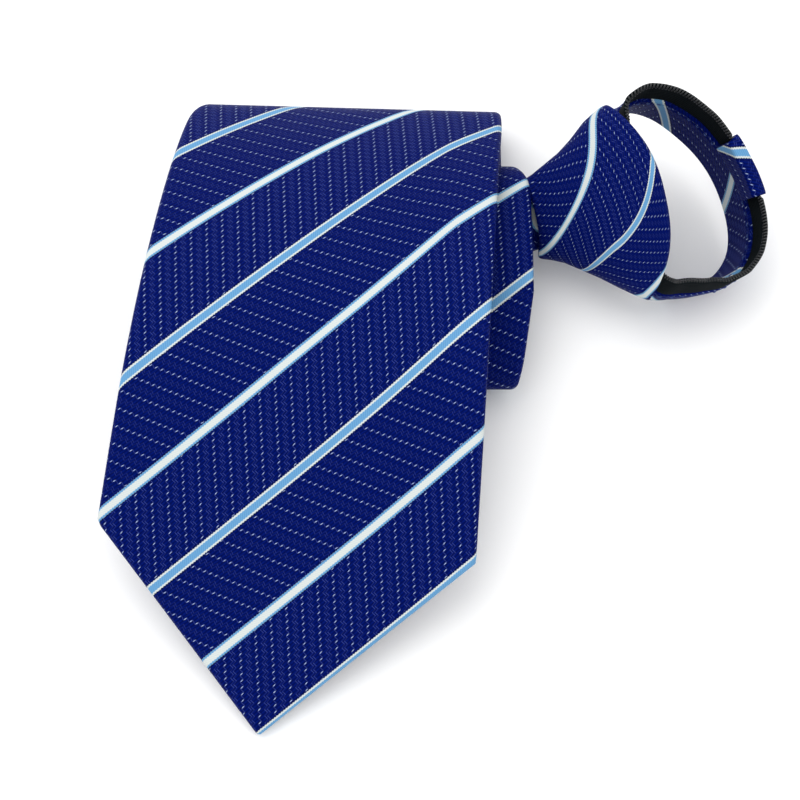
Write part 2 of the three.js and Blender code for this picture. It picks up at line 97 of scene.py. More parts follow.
# The neck loop, in mm, in its own axes: x out from the knot, y across, z along the band's width
LOOP_DEPTH = 25.0
LOOP_WIDTH = 44.0
LOOP_FLARE = 5.3
LOOP_BULGE = 1.3
LOOP_AT = np.array([23.2, 0.0, -4.0])
LOOP_TURN = math.radians(90 - 37.8)
BAND_WIDTH = 11.2
BAND_THICKNESS = 1.6
CLEARANCE = 0.3
TAPE_WIDTH = 5.3
TAPE_THICKNESS = 1.0
TEETH_WIDTH = 1.5
TOOTH_PITCH = 0.62
SLIDER_LENGTH = 9.0
SLIDER_THICKNESS = 3.0
KEEPER_LENGTH = 13.0
KEEPER_WALL = 1.0
KEEPER_PLACE = 0.465
LOOP_ROWS = [  # out of the loop's depth, side of its width, flare, bulge
    (0, -0.02, 0, 0), (0, 0.2, 0, 0), (0.01, 0.38, 0, -0.3), (0.12, 0.468, 0.35, -0.7),
    (0.3, 0.474, 0.58, -0.7), (0.504, 0.418, 0.65, -0.2), (0.708, 0.302, 0.62, 0.2),
    (0.86, 0.182, 0.45, 0.2), (0.955, 0.06, 0.34, 0.2), (1.008, -0.09, 0.34, 0.2),
    (1.008, -0.235, 0.33, 0.2), (0.95, -0.345, 0.28, 0.3), (0.83, -0.425, 0.2, 0.5),
    (0.66, -0.475, 0, 0.7), (0.46, -0.49, -0.25, 0.85), (0.26, -0.48, -0.34, 1),
    (0.1, -0.46, -0.3, 1), (0.01, -0.375, -0.1, 0.5), (0, -0.22, 0, 0),
]
TAPE_START = BAND_WIDTH + CLEARANCE
TEETH_START = TAPE_START + TAPE_WIDTH + CLEARANCE
LOOP_TOTAL = TEETH_START + TEETH_WIDTH

# The silk's stripes, in mm across them: a light-blue one and a white one by turns
STRIPE_GAP = 19.1
STRIPE_START = 0.8


# Curves and axes

SHORTEST_GAP = 1e-6
SHORTEST_VECTOR = 1e-9


def smooth_line(rows, count, closed=False):
    """A soft curve through the rows: its points, and each point's place among the rows."""
    rows = np.asarray(rows, float)
    if closed:
        held = np.vstack([rows[-1:], rows, rows[:2]])
    else:
        held = np.vstack([2 * rows[:1] - rows[1:2], rows, 2 * rows[-1:] - rows[-2:-1]])
    spans = len(held) - 3
    place = np.linspace(0, spans, count + 1)
    i = np.minimum(place.astype(int), spans - 1)
    t = (place - i)[:, None]
    a, b, c, d = held[i], held[i + 1], held[i + 2], held[i + 3]
    gap = [np.maximum(np.linalg.norm(q - p, axis=1)[:, None], SHORTEST_GAP) ** 0.5
           for p, q in ((a, b), (b, c), (c, d))]
    start = ((b - a) / gap[0] - (c - a) / (gap[0] + gap[1]) + (c - b) / gap[1]) * gap[1]
    end = ((c - b) / gap[1] - (d - b) / (gap[1] + gap[2]) + (d - c) / gap[2]) * gap[1]
    line = b + start * t + (3 * (c - b) - 2 * start - end) * t**2 + (2 * (b - c) + start + end) * t**3
    return line, place


def travelled(line):
    """How far along the line each of its points is."""
    steps = np.linalg.norm(np.diff(line, axis=0), axis=1)
    return np.concatenate([[0], np.cumsum(steps)])


def unit(vectors):
    return vectors / np.maximum(np.linalg.norm(vectors, axis=-1, keepdims=True), SHORTEST_VECTOR)


def turn(axis, angle):
    """The matrix that turns by an angle about one of the three axes."""
    a, b = [(1, 2), (2, 0), (0, 1)][axis]
    made = np.eye(3)
    made[a, a] = made[b, b] = math.cos(angle)
    made[b, a] = math.sin(angle)
    made[a, b] = -math.sin(angle)
    return made


KNOT_AXES = turn(2, KNOT_TURNS[0]) @ turn(1, KNOT_TURNS[1]) @ turn(0, KNOT_TURNS[2])
LOOP_AXES = turn(1, LOOP_TURN)


def from_knot(points):
    """Points in the knot's own axes, as points of the whole tie."""
    return points @ KNOT_AXES.T + KNOT_AT


def from_loop(points):
    return from_knot(points @ LOOP_AXES.T + LOOP_AT)


# Meshes

def make_piece(name, points, faces, cloth, finish):
    """A piece from points of the tie in mm. cloth holds each face corner's place on the silk."""
    mesh = bpy.data.meshes.new(name)
    mesh.from_pydata((points + TIE_SHIFT) * MM, [], [tuple(f) for f in faces])
    if cloth is not None:
        layer = mesh.uv_layers.new(name="cloth")
        layer.uv.foreach_set("vector", np.asarray(cloth, np.float32).ravel())
    mesh.shade_smooth()
    mesh.materials.append(finish)
    piece = bpy.data.objects.new(name, mesh)
    bpy.context.scene.collection.objects.link(piece)
    return piece


def skinned(rings, closed):
    """The faces of a skin over rings of points, facing out, and each face corner as (ring, column)."""
    count, sides = rings.shape[:2]
    spans = count if closed else count - 1
    i, j = np.meshgrid(np.arange(spans), np.arange(sides), indexing="ij")
    i, j = i.ravel(), j.ravel()
    ring = np.stack([i, i, i + 1, i + 1], axis=1)
    column = np.stack([j, j + 1, j + 1, j], axis=1)
    corners = rings[ring % count, column % sides]
    cross = np.cross(corners[:, 1] - corners[:, 0], corners[:, 2] - corners[:, 0])
    inward = (corners[:, 0] * cross).sum() < 0
    if inward:
        ring, column = ring[:, ::-1], column[:, ::-1]
    return ring, column, inward


def skin(name, rings, cloth, finish, closed=False):
    """A closed piece skinned over rings. cloth has one column more than the rings, and for a closed row
    of rings it may have one row more, so that it can end at a seam."""
    count, sides = rings.shape[:2]
    centre = rings.reshape(-1, 3).mean(0)
    ring, column, inward = skinned(rings - centre, closed)
    faces = [list(f) for f in (ring % count) * sides + column % sides]
    marks = None if cloth is None else [cloth[ring % len(cloth), column].reshape(-1, 2)]
    if not closed:
        ends = [list(range(sides)), list(range((count - 1) * sides, count * sides))]
        ends[0 if not inward else 1].reverse()
        for end, row in zip(ends, (0, -1)):
            faces.append(end)
            if marks is not None:
                around = cloth[row, :-1]
                marks.append(around[::-1] if end[0] > end[-1] else around)
    marks = None if marks is None else np.vstack(marks)
    return make_piece(name, rings.reshape(-1, 3), faces, marks, finish)


def soft_section(width, thick, round_by, steps=4, across=6):
    """A rounded bar's outline, as (up, out), from its lower edge round by its outer side."""
    half = thick / 2
    round_by = min(round_by, half)
    quarter = np.linspace(0, math.pi / 2, steps + 1)
    flat = np.linspace(round_by, width - round_by, across + 1)[1:-1]
    low = [(round_by * (1 - math.cos(a)), half - round_by + round_by * math.sin(a)) for a in quarter]
    side = low + [(x, half) for x in flat] + [(width - a, b) for a, b in low[::-1]]
    back = [(a, -b) for a, b in side[::-1]]
    outline = side + (back if round_by < half else back[1:-1])
    return np.array(outline)


# Shader maths

class Amount:
    """One number that varies over a finish, worked on with Python's own signs."""

    def __init__(self, finish, socket):
        self.finish = finish
        self.socket = socket

    def maths(self, operation, *values):
        return self.finish.add("ShaderNodeMath", {"operation": operation}, dict(enumerate(values)))

    def __add__(self, other):
        return self.maths("ADD", self, other)

    def __radd__(self, other):
        return self.maths("ADD", other, self)

    def __sub__(self, other):
        return self.maths("SUBTRACT", self, other)

    def __rsub__(self, other):
        return self.maths("SUBTRACT", other, self)

    def __mul__(self, other):
        return self.maths("MULTIPLY", self, other)

    def __truediv__(self, other):
        return self.maths("DIVIDE", self, other)

    def floor(self):
        return self.maths("FLOOR", self)

    def fract(self):
        return self.maths("FRACT", self)

    def size(self):
        return self.maths("ABSOLUTE", self)

    def wave(self, length):
        """A sine of that length, from -1 to 1."""
        return self.maths("SINE", self * (2 * math.pi / length))

    def clamped(self):
        return self.finish.add("ShaderNodeClamp", {}, {"Value": self})

    def rise(self, low, high):
        """0 below low, 1 above high, and a soft step between them."""
        settings = {"interpolation_type": "SMOOTHSTEP"}
        sockets = {"Value": self, "From Min": low, "From Max": high}
        return self.finish.add("ShaderNodeMapRange", settings, sockets)


class Finish:
    """A material of the tie, with its nodes."""

    def __init__(self, name):
        self.material = bpy.data.materials.new(name)
        self.material.use_nodes = True
        self.tree = self.material.node_tree
        self.tree.nodes.clear()

    def node(self, kind, settings, sockets):
        """A node with its settings, then its sockets' values or links."""
        made = self.tree.nodes.new(kind)
        for name, value in settings.items():
            setattr(made, name, value)
        for name, value in sockets.items():
            value = getattr(value, "socket", value)
            if isinstance(value, bpy.types.NodeSocket):
                self.tree.links.new(value, made.inputs[name])
            else:
                made.inputs[name].default_value = value
        return made

    def add(self, kind, settings, sockets, output=0):
        return Amount(self, self.node(kind, settings, sockets).outputs[output])

    def mixed(self, share, first, second):
        """A colour between two others."""
        settings = {"data_type": "RGBA"}
        sockets = {"Factor": share, 6: first, 7: second}
        return self.node("ShaderNodeMix", settings, sockets).outputs[2]

    def cloth(self):
        """The place on the silk: along the stripes and across them, in mm."""
        place = self.node("ShaderNodeUVMap", {"uv_map": "cloth"}, {}).outputs[0]
        parts = self.node("ShaderNodeSeparateXYZ", {}, {"Vector": place})
        return Amount(self, parts.outputs[0]), Amount(self, parts.outputs[1])

    def noise(self, scale, detail):
        return self.add("ShaderNodeTexNoise", {}, {"Scale": scale, "Detail": detail})

    def surface(self, constants, varying):
        """The finish's shader, with the values that are the same all over and those that vary."""
        shader = self.node("ShaderNodeBsdfPrincipled", {}, {**constants, **varying})
        self.node("ShaderNodeOutputMaterial", {}, {"Surface": shader.outputs[0]})
        return self.material

    def bump(self, height, distance, strength):
        sockets = {"Height": height, "Distance": distance, "Strength": strength}
        return self.node("ShaderNodeBump", {}, sockets).outputs[0]


NAVY_DARK = (0.0005, 0.0012, 0.03, 1)
NAVY = (0.0012, 0.0085, 0.15, 1)
NAVY_FLOAT = (0.045, 0.07, 0.32, 1)
# the dashes' light blue is partly their thread and partly a painted glint, standing in for the silk's sheen
DASH_GLINT = (0.5, 0.62, 0.92, 1)
SKY = (0.125, 0.31, 0.52, 1)
SKY_DARK = (0.075, 0.2, 0.4, 1)
WHITE = (0.56, 0.6, 0.58, 1)
WHITE_SHADE = (0.42, 0.47, 0.49, 1)
ROW_GAP = 1.74
DASH_GAP = 1.34
ROW_SLANT = math.radians(57)
ZIGZAG = 0.33
SILK_SHEAR = 0.07  # the rows lean over by this much
STRIPE_HALF = 1.13  # half of a stripe, and of its middle
CORE_HALF = 0.72
WHITE_NARROWER = 0.02  # half of a white stripe is this much less, and of its middle twice as much
STRIPE_SOFT = 0.08  # a stripe's edge is blurred this far
JAG_LENGTH = 0.62  # the stripes' edges step from thread to thread
JAG = 0.06
STROKE_HALF = 0.16
DASH_HALF = 0.195  # half of a dash, whose brightness is a painted glint, as a share of the zigzag
TWIN_OFF = 0.26  # two fine threads run beside the zigzag in every other row
TWIN_HALF = 0.13
TWILL_GAP = 0.67
GRAIN_GAP = 0.42
RIB_GAP = 0.5


def silk_finish():
    """Navy silk with light-blue and white stripes, dashed rows whose dashes carry a painted glint, and a
    fine twill.
    """
    silk = Finish("striped_silk")
    along, across = silk.cloth()
    count = (across - STRIPE_START) / STRIPE_GAP
    jagged = along.wave(JAG_LENGTH) * JAG
    nearest = (count + 0.5).floor()
    off = (count - nearest).size() * STRIPE_GAP + jagged
    is_white = ((nearest * 0.5).fract() * 2).rise(0.4, 0.6)
    half = STRIPE_HALF - is_white * WHITE_NARROWER
    core = CORE_HALF - is_white * (2 * WHITE_NARROWER)
    stripe = (half - off).rise(-STRIPE_SOFT, STRIPE_SOFT)
    middle = (core - off).rise(-STRIPE_SOFT, STRIPE_SOFT)
    sky = is_white * stripe * (1 - middle) + (1 - is_white) * middle

    # The ground between the stripes slants one way, then the other
    zone = ((count.floor() * 0.5).fract() * 2).rise(0.4, 0.6)
    up = across * (1 - zone * 2)
    along = along - across * SILK_SHEAR
    row_at = up * math.cos(ROW_SLANT) - along * math.sin(ROW_SLANT)
    place = up * math.sin(ROW_SLANT) + along * math.cos(ROW_SLANT)
    rows = row_at / ROW_GAP
    row = rows.floor()
    bright = 1 - ((row * 0.5).fract() * 2).rise(0.4, 0.6)
    from_row = (rows - row - 0.5) * ROW_GAP

    # A thread zigzags down each row: its strokes one way carry a painted glint in every other row
    step = (place / DASH_GAP + row * 0.23).fract()
    line = ((step - 0.5).size() * 2 - 0.5) * (2 * ZIGZAG)
    from_line = (from_row - line).size() * 0.85
    stroke = (STROKE_HALF - from_line).rise(0.0, 0.1)
    window = (step - 0.25).size()
    # noise for how strongly each dash's painted glint shows, and for the floats' tone
    glint_and_tone_noise = silk.noise(1900, 1)
    dash = stroke * (DASH_HALF - window).rise(0.0, 0.1) * bright
    other = stroke * bright * (1 - dash)
    twin = (TWIN_HALF - (from_line - TWIN_OFF).size()).rise(0.0, 0.08) * (1 - bright) * (1 - zone * 0.5)
    twin = twin * (0.3 + window.rise(0.2, 0.3) * 0.7)
    dark = (0.62 - from_line).rise(0.0, 0.3) * (1 - stroke)
    twill = (place * 0.82 + row_at * 0.57).wave(TWILL_GAP) * 0.5 + 0.5
    mottle = silk.noise(2400, 2)
    cloudy = silk.noise(60, 2)
    base = silk.mixed((twill * 0.45 + mottle * 1.3 - 0.4).clamped(), NAVY_DARK, NAVY)
    base = silk.mixed((dark * 0.25).clamped(), base, NAVY_DARK)
    floats = (other * 0.55 + twin * 0.85) * (glint_and_tone_noise * 2.8 - 0.75)
    base = silk.mixed(floats.clamped(), base, NAVY_FLOAT)
    # painted glint: the dashes are mixed towards a bright light blue in place of the silk's sheen
    base = silk.mixed((dash * (glint_and_tone_noise * 1.8 - 0.3)).clamped(), base, DASH_GLINT)
    grain = (along * 0.35 + across).wave(GRAIN_GAP) * 0.5 + 0.5
    ribs = (along - across * 0.6).wave(RIB_GAP) * 0.5 + 0.5
    bands = silk.mixed((grain * 0.35).clamped(), WHITE, WHITE_SHADE)
    blues = silk.mixed((ribs * 0.6).clamped(), SKY, SKY_DARK)
    bands = silk.mixed(sky, bands, blues)
    colour = silk.mixed(stripe, base, bands)
    edge = (0.35 - (half - off).size()).rise(0, 0.3) * (1 - stripe)
    colour = silk.mixed(edge * 0.6, colour, NAVY_DARK)

    relief = dash + other * 0.6 + twin * 0.5 + twill * 0.3 - dark * 0.3
    height = relief * (1 - stripe) + (0.75 + grain * 0.1 + ribs * 0.1) * stripe
    rough = 0.5 - stripe * 0.08 + cloudy * 0.06
    constants = {"Specular IOR Level": 0.04, "Specular Tint": (0.1, 0.24, 1.0, 1)}
    varying = {"Base Color": colour, "Roughness": rough, "Normal": silk.bump(height, 0.00018, 0.8)}
    return silk.surface(constants, varying)


def tape_finish():
    """Black woven zipper tape, ribbed along its length."""
    tape = Finish("black_zipper_tape")
    along, across = tape.cloth()
    ribs = across.wave(0.75) * 0.5 + 0.5
    picks = (along + across * 0.2).wave(0.55) * 0.5 + 0.5
    fuzz = tape.noise(1400, 3)
    colour = tape.mixed((ribs * 0.4 + picks * 0.25 + fuzz * 0.3).clamped(),
                        (0.0006, 0.0012, 0.0018, 1), (0.004, 0.0075, 0.0095, 1))
    varying = {"Base Color": colour, "Roughness": 0.75 + fuzz * 0.2,
               "Normal": tape.bump(ribs * 0.8 + picks * 0.4 + fuzz * 0.2, 0.00012, 0.7)}
    return tape.surface({"Specular IOR Level": 0.05}, varying)


def teeth_finish():
    """Black nylon, with a soft gloss and fine scuffs."""
    teeth = Finish("black_nylon_coil")
    scuffs = teeth.noise(2200, 3)
    colour = teeth.mixed(scuffs, (0.003, 0.004, 0.005, 1), (0.015, 0.017, 0.02, 1))
    varying = {"Base Color": colour, "Roughness": 0.25 + scuffs * 0.2,
               "Normal": teeth.bump(scuffs, 0.00003, 0.4)}
    return teeth.surface({"Specular IOR Level": 0.5}, varying)


def thread_finish():
    """Sewing thread, two plies twisted."""
    thread = Finish("blue_sewing_thread")
    along, across = thread.cloth()
    twist = (along + across).wave(0.35) * 0.5 + 0.5
    colour = thread.mixed(twist, (0.012, 0.03, 0.14, 1), (0.05, 0.1, 0.32, 1))
    varying = {"Base Color": colour, "Roughness": 0.45 + twist * 0.1,
               "Normal": thread.bump(twist, 0.00004, 0.6)}
    return thread.surface({"Specular IOR Level": 0.3}, varying)


def slider_finish():
    """Black painted metal, a little worn."""
    slider = Finish("black_painted_slider")
    wear = slider.noise(700, 4).rise(0.58, 0.75)
    grain = slider.noise(3000, 2)
    colour = slider.mixed(wear, (0.008, 0.009, 0.01, 1), (0.07, 0.075, 0.08, 1))
    varying = {"Base Color": colour, "Roughness": 0.32 + grain * 0.15, "Metallic": wear * 0.6,
               "Normal": slider.bump(grain, 0.00002, 0.4)}
    return slider.surface({"Coat Weight": 0.2}, varying)


def paper_finish():
    """The pale floor, hardly mottled."""
    paper = Finish("pale_floor")
    cloud = paper.noise(2.5, 2)
    colour = paper.mixed(cloud, (0.93, 0.93, 0.93, 1), (0.95, 0.95, 0.95, 1))
    varying = {"Base Color": colour, "Roughness": 0.9 + cloud * 0.05}
    return paper.surface({"Specular IOR Level": 0.1}, varying)


silk = silk_finish()
tape_black = tape_finish()
teeth_black = teeth_finish()
thread_blue = thread_finish()
slider_black = slider_finish()


def on_bias(side, up):
    """A place on the strip, across it and along it, as a place along and across the stripes."""
    return np.stack([(up + side) / math.sqrt(2), (up - side) / math.sqrt(2)], axis=-1)


# The blade and its tail

SIDE_STEPS = np.array([0, 0.12, 0.35, 0.7, 1.1, 1.6, 2.3])
SIDE_ROOM = 2.0  # half of the strip is at least this much wider than the side's steps
INSIDE_STEPS = 22
SEAM_STEPS = np.array([0, 0.4, 0.9, 1.6])
SEAM_DEPTH = 0.5
SEAM_PARTS = 40  # where the strip is narrow, the seam's depth is its width over this
SEAM_HALF = 0.55
ROLL_SAMPLES = 6000
RING_STEP = 1.6  # a cross section at least this often along the roll
RING_TURN = math.radians(5)  # and where the roll has turned this far
TIP_STEPS = (0, 0.1, 0.3, 0.6, 1.0)  # the first cross sections, up from the blunt point
TIP_START = 0.03
TIP_SWELL = 1.1
TAIL_STEPS = 8
THROAT_STEPS = (8, 3, 2)
PLEATS = 9
PLEAT_DEPTH = 0.35
ROLL_SLACK = ((185, 225), (0, 4.6))  # how far along the strip, and the silk taken up there
FOLD_SLANT = 0.031  # the fold at the top drops this much to the right
FOLD_FROM, FOLD_TO, FOLD_MIDDLE = 70.0, 140.0, 19.0
FOLD_TUCKS = [  # along the strip, how far the left and the right edge draw in there, and over what reach
    (155.2, 1.8, 0.0, 5.0), (283.5, 0.0, 2.5, 5.0),
]
SILK_DRIFT = [  # along the strip, and how far the silk has slid up it by the strip's right edge
    (0, 0.0), (30, 0.3), (60, 1.2), (85, 2.6), (110, 5.3), (130, 6.0), (150, 4.8), (170, 4.5), (400, 4.5),
]
DRIFT_CURVE = 3.0


def blade_edges(length):
    """The strip's two edges, laid flat: for each, how far along the roll and how far across."""
    rows = [(POINT_LENGTH, 1.0)] + [(a * length, w) for a, w in WIDTH_ROWS]
    rows.append((PAST_END * length, WIDTH_ROWS[-1][1]))
    c, s = math.cos(ROLL_SKEW), math.sin(ROLL_SKEW)
    edges = []
    for sign in (-1, 1):
        laid = [(POINT_SIDE, 0)] + [(sign * w * BLADE_WIDTH / 2, up) for up, w in rows]
        edges.append(np.array([(up * c - side * s, side * c + up * s - POINT_SIDE) for side, up in laid]))
    return edges


def strip_section(width, thick, swell):
    """A padded strip's outline as (across, up), from the seam under its middle, and the silk's place."""
    fitted = min(1.0, width / 2 / (SIDE_STEPS[-1] + SIDE_ROOM))
    near = SIDE_STEPS * fitted
    seam = SEAM_STEPS * fitted
    top = np.concatenate([width / 2 - near,
                          np.linspace(width / 2 - near[-1], near[-1] - width / 2, INSIDE_STEPS + 1)[1:-1],
                          near[::-1] - width / 2])
    under = np.linspace(seam[-1], width / 2 - near[-1], INSIDE_STEPS // 2)[1:]
    right = np.concatenate([seam, under, width / 2 - near[-2:0:-1]])
    left = -right[:0:-1]
    outline = []
    for xs, sign in ((right, -1), (top, 1), (left, -1)):
        from_edge = np.minimum((width / 2 - np.abs(xs)) / EDGE_ROUND, 1)
        half = thick / 2 * np.sqrt(np.maximum(1 - (1 - from_edge) ** 2, 0)) * swell
        if sign < 0:
            half = half - min(SEAM_DEPTH, width / SEAM_PARTS) * np.exp(-((xs / SEAM_HALF) ** 2))
        outline.append(np.stack([xs, sign * half], axis=1))
    outline = np.vstack(outline)
    round_it = travelled(np.vstack([outline, outline[:1]]))
    middle = len(right) + len(top) // 2
    return outline, round_it[middle] - round_it + outline[middle, 0]


def blade_rings():
    """The blade's cross sections, from the point round the roll, and the two edges where the roll ends and
    the tail takes over.
    """
    rows = np.array([(0, away * PANEL_LENGTH, height * ROLL_HEIGHT) for away, height in ROLL_ROWS])
    line, _ = smooth_line(rows, ROLL_SAMPLES)
    line[:, 2] = np.maximum(line[:, 2], BLADE_THICKNESS / 2)
    along = travelled(line)
    way = unit(np.gradient(line, axis=0))
    heading = np.unwrap(np.arctan2(way[:, 2], way[:, 1]))
    effort = np.cumsum(np.gradient(along) / RING_STEP + np.abs(np.gradient(heading)) / RING_TURN)
    length = along[-1]
    first = np.searchsorted(along, POINT_BLUNT)
    tip = [first + np.searchsorted(along[first:], POINT_BLUNT + x) for x in TIP_STEPS]
    picks = np.searchsorted(effort, np.arange(effort[tip[-1]] + 1, effort[-1], 1.0))
    picks = np.concatenate([tip, picks, [len(along) - 1]])
    left, right = blade_edges(length)
    drift, _ = smooth_line(SILK_DRIFT, ROLL_SAMPLES)
    rings, marks = [], []
    c, s = math.cos(ROLL_SKEW), math.sin(ROLL_SKEW)
    for i in picks:
        ends = [np.interp(along[i], edge[:, 0], edge[:, 1]) for edge in (left, right)]
        for place, left_tuck, right_tuck, reach in FOLD_TUCKS:
            share = math.exp(-(((along[i] - place) / reach) ** 2))
            ends = [ends[0] + left_tuck * share, ends[1] - right_tuck * share]
        width, middle = ends[1] - ends[0], sum(ends) / 2
        grown = min((along[i] - POINT_BLUNT + TIP_START) / TIP_SWELL, 1)
        outline, silk_side = strip_section(width, BLADE_THICKNESS, math.sqrt(1 - (1 - grown) ** 2))
        up = np.array([0, -math.sin(heading[i]), math.cos(heading[i])])
        ring = line[i] + outline[:, :1] * np.array([1, 0, 0]) + outline[:, 1:] * up
        ring[:, 0] += middle
        eased = np.clip((ring[:, 1] - FOLD_FROM) / (FOLD_TO - FOLD_FROM), 0, 1)
        ring[:, 1] -= FOLD_SLANT * (ring[:, 0] - FOLD_MIDDLE) * eased * eased * (3 - 2 * eased)
        rings.append(ring)
        x = silk_side + middle + POINT_SIDE
        rightward = np.clip(x / BLADE_WIDTH + 0.5, 0, 1) ** DRIFT_CURVE
        laid = along[i] - np.interp(along[i], *ROLL_SLACK) - np.interp(along[i], *drift.T) * rightward
        marks.append(on_bias(x * c - laid * s, x * s + laid * c))
    return rings, marks, along[-1], [line[-1] + np.array([x, 0, 0]) for x in ends]


def tail_rings(blade_length, blade_ends):
    """The tail's cross sections: on from the roll, over its slanting fold, gathered into the knot."""
    place = KNOT_DESIGN
    throat = KNOT_ROWS[0][3] * KNOT_DEPTH - 2 * (KNOT_WALL + CLEARANCE)
    rows = [[*blade_ends[0], *blade_ends[1], 0.0]]
    rows += [[lx * place[0], ly * place[1], z * place[2], rx * place[0], ry * place[1], z * place[2], thick]
             for lx, ly, rx, ry, z, thick in TAIL_ROWS]
    line, _ = smooth_line(rows, (len(rows) - 1) * TAIL_STEPS)
    left, right, thickness = line[:, 0:3], line[:, 3:6], np.clip(line[:, 6], 0, 1)
    middle = (left + right) / 2
    way = np.gradient(middle, axis=0)
    along = travelled(middle)
    rings, marks = [], []
    for i in range(1, len(line)):
        width = min(np.linalg.norm(right[i] - left[i]), TAIL_WIDTH)
        across = unit(right[i] - left[i])
        up = unit(np.cross(across, way[i]))
        thick = BLADE_THICKNESS + (throat - BLADE_THICKNESS) * thickness[i]
        outline, silk_side = strip_section(width, thick, 1)
        rings.append(middle[i] + outline[:, :1] * across + outline[:, 1:] * up)
        marks.append(on_bias(silk_side, blade_length + along[i] - TAIL_SLACK + 0 * silk_side))
    last, spread = rings[-1], marks[-1]
    top = 2 * len(SIDE_STEPS) + INSIDE_STEPS - 1
    under = (len(last) - top + 1) // 2
    angles = np.concatenate([
        np.linspace(-math.pi / 2, 0, under, endpoint=False), np.linspace(0, math.pi, top),
        np.linspace(math.pi, 1.5 * math.pi, under + 1)[1:-1]])
    angles = math.pi - angles
    pleats = PLEAT_DEPTH * (1 + np.cos(PLEATS * angles))
    throats = [from_knot(knot_throat(angles, KNOT_WALL + CLEARANCE + pleats, at))
               for at in (-KNOT_CURL - TAIL_START, TAIL_INSIDE / 2, TAIL_INSIDE)]
    stops = [last] + throats
    for start, end, steps in zip(stops, stops[1:], THROAT_STEPS):
        for step in range(1, steps + 1):
            rings.append(start + (end - start) * step / steps)
            spread = spread + np.linalg.norm(end.mean(0) - start.mean(0)) / steps / math.sqrt(2)
            marks.append(spread)
    return rings, marks


# The knot

def squared(value):
    return np.sign(value) * np.abs(value) ** (2 / KNOT_SQUARENESS)


def knot_start(angle):
    """How far along the knot its narrow end is."""
    return -KNOT_CURL * (1 - np.maximum(np.sin(angle), 0) ** 2) - KNOT_NECK


def knot_outline(angle, place, sunk):
    """The knot's cross section at a place along it, sunk below its outer surface: across and up."""
    rows = np.array(KNOT_ROWS, float)
    width, shift, depth = (np.interp(place / KNOT_FRONT, rows[:, 0], rows[:, k]) for k in (1, 2, 3))
    deep = depth * KNOT_DEPTH
    across = (width * KNOT_WIDTH / 2 - sunk) * squared(np.cos(angle)) + shift * KNOT_WIDTH
    return across, (deep / 2 - sunk) * squared(np.sin(angle)) - deep / 2


def knot_points(angle, share, sunk, past):
    """Places on the knot's wall, in its own axes: share of the way up from its narrow end, and past it."""
    to_front = np.sin(angle)
    proud = (1 - RIM_PEAK) * to_front + RIM_PEAK * to_front**2
    front = KNOT_SIDE + (KNOT_FRONT - KNOT_SIDE) * proud
    back = KNOT_SIDE + (KNOT_SIDE - KNOT_BACK) * to_front
    end = np.where(to_front > 0, front, back)
    start = knot_start(angle)
    along = start + (end - start) * share + past
    return np.stack([along, *knot_outline(angle, along, sunk)], axis=-1)


def knot_throat(angle, sunk, at):
    """A flat ring inside the knot, as wide as its narrow end, at a place along it."""
    return np.stack([np.full_like(angle, at), *knot_outline(angle, knot_start(angle), sunk)], axis=-1)


KNOT_COLUMNS = 144
WALL_FROM, WALL_TO, WALL_STEPS = 0.03, 0.975, 44  # the outer wall's rings, in shares of its length
LINING_LOW, LINING_HIGH, LINING_STEPS = 0.5, 0.53, 10  # where the lining's two halves meet
RIM_BEND = 0.5
RIM_STEPS = 7
SHARP_ANGLE = math.radians(50)
KNOT_STRIPES = [  # the stripe's place across the silk, then its course as (along, across) the knot's front
    (19.9, [(17.1, 21.7), (15.9, 19.4), (15.2, 17.0), (14.7, 10.7), (12.9, 6.7), (9.8, 2.9), (3.3, -3.7),
            (-1.2, -5.5)]),
    (0.8, [(30, 6.6), (28.9, 3.8), (27.9, 1.1), (23.6, -4.4), (19.4, -7.5), (14.9, -9.4), (9.0, -11.4),
           (4.1, -12.1)]),
    (4.4, [(29.0, 12.0)]),
    (33.0, [(-3.0, 8.0), (3.0, 15.0)]),
    (-18.3, [(26.8, -17.5), (22.2, -19.6), (19.1, -20.2), (15.7, -20.5)]),
]
WRAP_HALF = 26.0  # further round than this the field goes on straight
FIELD_ORDER = 6
FIELD_TERMS = [(i, j) for i in range(FIELD_ORDER) for j in range(FIELD_ORDER - i)]
FIELD_SIZE = 30.0
FIELD_STIFFNESS = 0.5
FIELD_ALONG = np.linspace(-3, 30, 12)  # the grid over which the field is kept from bending
FIELD_ROUND = np.linspace(-30, 30, 16)


def powers(a, c):
    """The terms of a gently curved field over the knot."""
    a, c = a / FIELD_SIZE, c / FIELD_SIZE
    return np.stack([a**i * c**j for i, j in FIELD_TERMS], -1)


def slopes(a, c):
    """The terms' slopes along the knot and round it, per mm."""
    a, c = a / FIELD_SIZE, c / FIELD_SIZE
    by_a = np.stack([i * a ** max(i - 1, 0) * c**j for i, j in FIELD_TERMS], -1) / FIELD_SIZE
    by_c = np.stack([j * a**i * c ** max(j - 1, 0) for i, j in FIELD_TERMS], -1) / FIELD_SIZE
    return by_a, by_c


